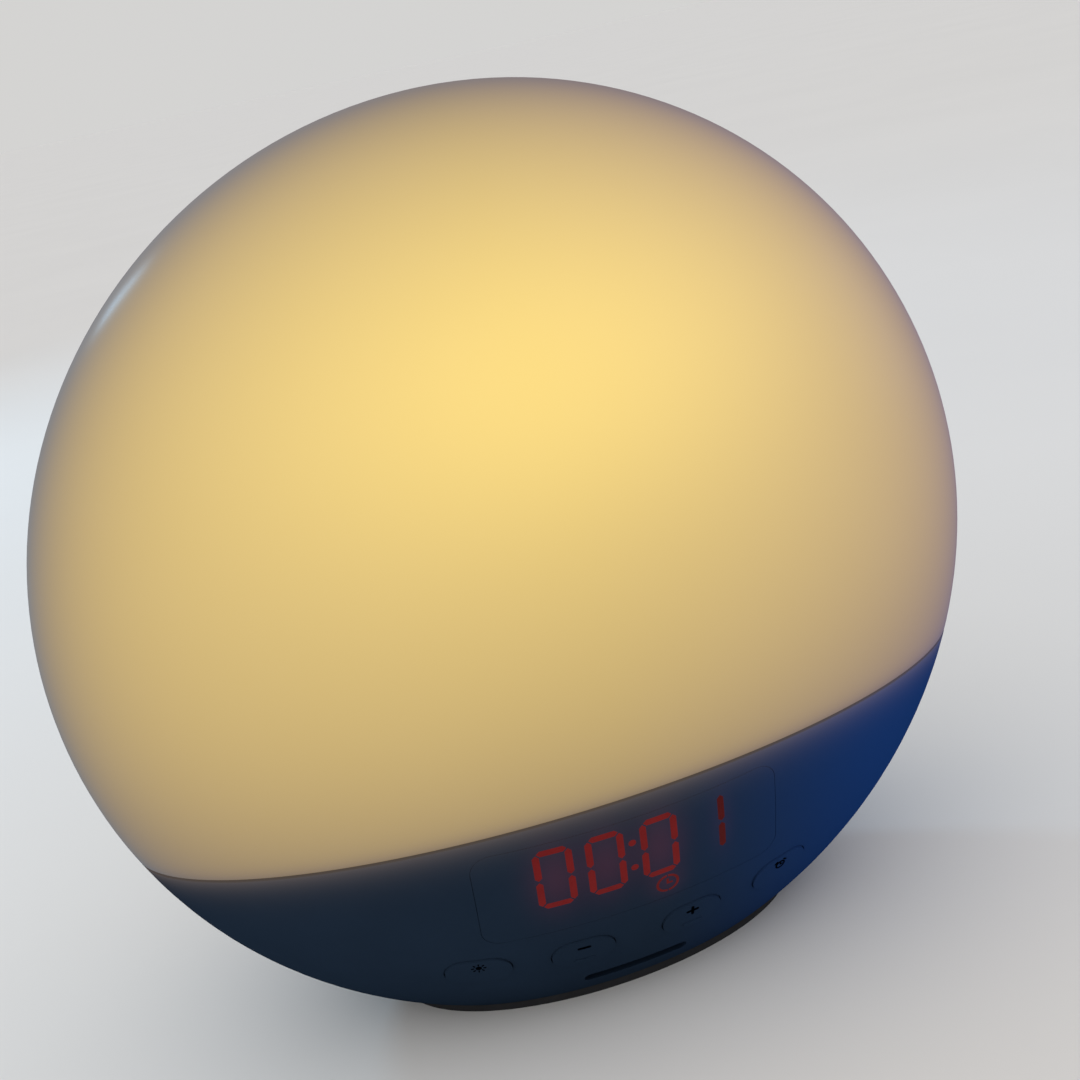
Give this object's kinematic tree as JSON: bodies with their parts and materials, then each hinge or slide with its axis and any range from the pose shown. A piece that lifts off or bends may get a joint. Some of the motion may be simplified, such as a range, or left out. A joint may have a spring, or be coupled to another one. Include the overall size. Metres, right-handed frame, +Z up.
{
  "type": "sunrise alarm clock",
  "caption": "Round glowing alarm clock: an opal dome lamp on a low dark housing with a red digit display, push buttons and a loudspeaker.",
  "frame": {"origin": "on the floor, under the middle of the body's bounding box; the free cords are left out", "axes": "+Z up, +X to the clock's left-to-right as its user sees it, the display faces -Y"},
  "size_m": [0.24, 0.2274, 0.228],
  "materials": {
    "opal_dome": "opal, satin, lit from within",
    "housing_plastic": "smooth satin sheen",
    "plate_plastic": "fine grain",
    "foot_rubber": "matt",
    "white_plastic": "smooth",
    "shield_aluminium": "plain sheet",
    "bracket_steel": "zinc plated",
    "holder_ceramic": "glazed",
    "contact_brass": "plain",
    "bulb_glass": "frosted",
    "cap_metal": "nickel plated",
    "insulator_black": "moulded",
    "capsule_glass": "clear",
    "wire_steel": "plain",
    "cutout_black": "moulded",
    "lens_smoke": "polished smoked lens",
    "bars_red": "lit red light guide",
    "bars_dark": "unlit light guide",
    "led_yellow": "moulded",
    "board_green": "solder mask",
    "button_plastic": "smooth satin sheen",
    "switch_black": "moulded",
    "core_steel": "laminated",
    "winding_copper": "enamelled copper wire",
    "capacitor_sleeve": "sleeved can",
    "heatsink_aluminium": "extruded",
    "chip_black": "moulded",
    "basket_steel": "pressed sheet",
    "cone_paper": "pressed paper",
    "magnet_ferrite": "ferrite",
    "wire_white": "sleeved wire",
    "wire_brown": "sleeved wire",
    "wire_red": "sleeved wire",
    "ribbon_grey": "flat cable",
    "screw_steel": "zinc plated",
    "boot_grey": "moulded strain relief",
    "cord_grey": "smooth pale sheath",
    "tie_black": "strap",
    "plug_grey": "moulded",
    "pin_brass": "nickel plated tips"
  },
  "bodies": {
    "clock": {"dome": "opal_dome", "base_shell": "housing_plastic", "base_plate": "plate_plastic", "foot_ring": "foot_rubber", "reflector_deck": "white_plastic", "heat_shield": "shield_aluminium", "holder_bracket": "bracket_steel", "lamp_holder": "holder_ceramic", "holder_thread_shell": "contact_brass", "holder_contact": "contact_brass", "bulb_glass": "bulb_glass", "bulb_cap": "cap_metal", "bulb_insulator": "insulator_black", "bulb_capsule": "capsule_glass", "bulb_support_wires": "wire_steel", "thermal_cutout": "cutout_black", "display_lens": "lens_smoke", "display_bars_lit": "bars_red", "display_bars_unlit": "bars_dark", "display_reflector": "white_plastic", "display_leds": "led_yellow", "display_board": "board_green", "switch_housings": "switch_black", "button_board": "board_green", "main_board": "board_green", "transformer_core": "core_steel", "transformer_winding": "winding_copper", "capacitors": "capacitor_sleeve", "dimmer_heatsink": "heatsink_aluminium", "control_chips": "chip_black", "speaker_basket": "basket_steel", "speaker_cone": "cone_paper", "speaker_magnet": "magnet_ferrite", "lamp_leads": "wire_white", "supply_leads": "wire_brown", "speaker_leads": "wire_red", "ribbon_cables": "ribbon_grey", "deck_screws": "screw_steel", "dome_screws": "screw_steel", "plate_screws": "screw_steel", "board_screws": "screw_steel", "holder_screws": "screw_steel", "mains_boot": "boot_grey", "mains_cord_lead": "cord_grey", "mains_cord_coil": "cord_grey", "mains_cord_tail": "cord_grey", "cord_ties": "tie_black", "plug_body": "plug_grey", "plug_pins": "pin_brass", "aerial_grommet": "boot_grey", "aerial_lead": "cord_grey", "aerial_coil": "cord_grey"},
    "button_light": {"button_light": "button_plastic", "plunger_light": "switch_black"},
    "button_down": {"button_down": "button_plastic", "plunger_down": "switch_black"},
    "button_up": {"button_up": "button_plastic", "plunger_up": "switch_black"},
    "button_alarm": {"button_alarm": "button_plastic", "plunger_alarm": "switch_black"}
  },
  "joints": [
    {"name": "button_light_press", "type": "slide", "parent": "clock", "child": "button_light", "axis": [0, 0.8829, 0.4695], "range_m": [0, 0.0008], "stiffness_N_per_m": 800},
    {"name": "button_down_press", "type": "slide", "parent": "clock", "child": "button_down", "axis": [0, 0.8829, 0.4695], "range_m": [0, 0.0008], "stiffness_N_per_m": 800},
    {"name": "button_up_press", "type": "slide", "parent": "clock", "child": "button_up", "axis": [0, 0.8829, 0.4695], "range_m": [0, 0.0008], "stiffness_N_per_m": 800},
    {"name": "button_alarm_press", "type": "slide", "parent": "clock", "child": "button_alarm", "axis": [0, 0.8829, 0.4695], "range_m": [0, 0.0008], "stiffness_N_per_m": 800}
  ]
}
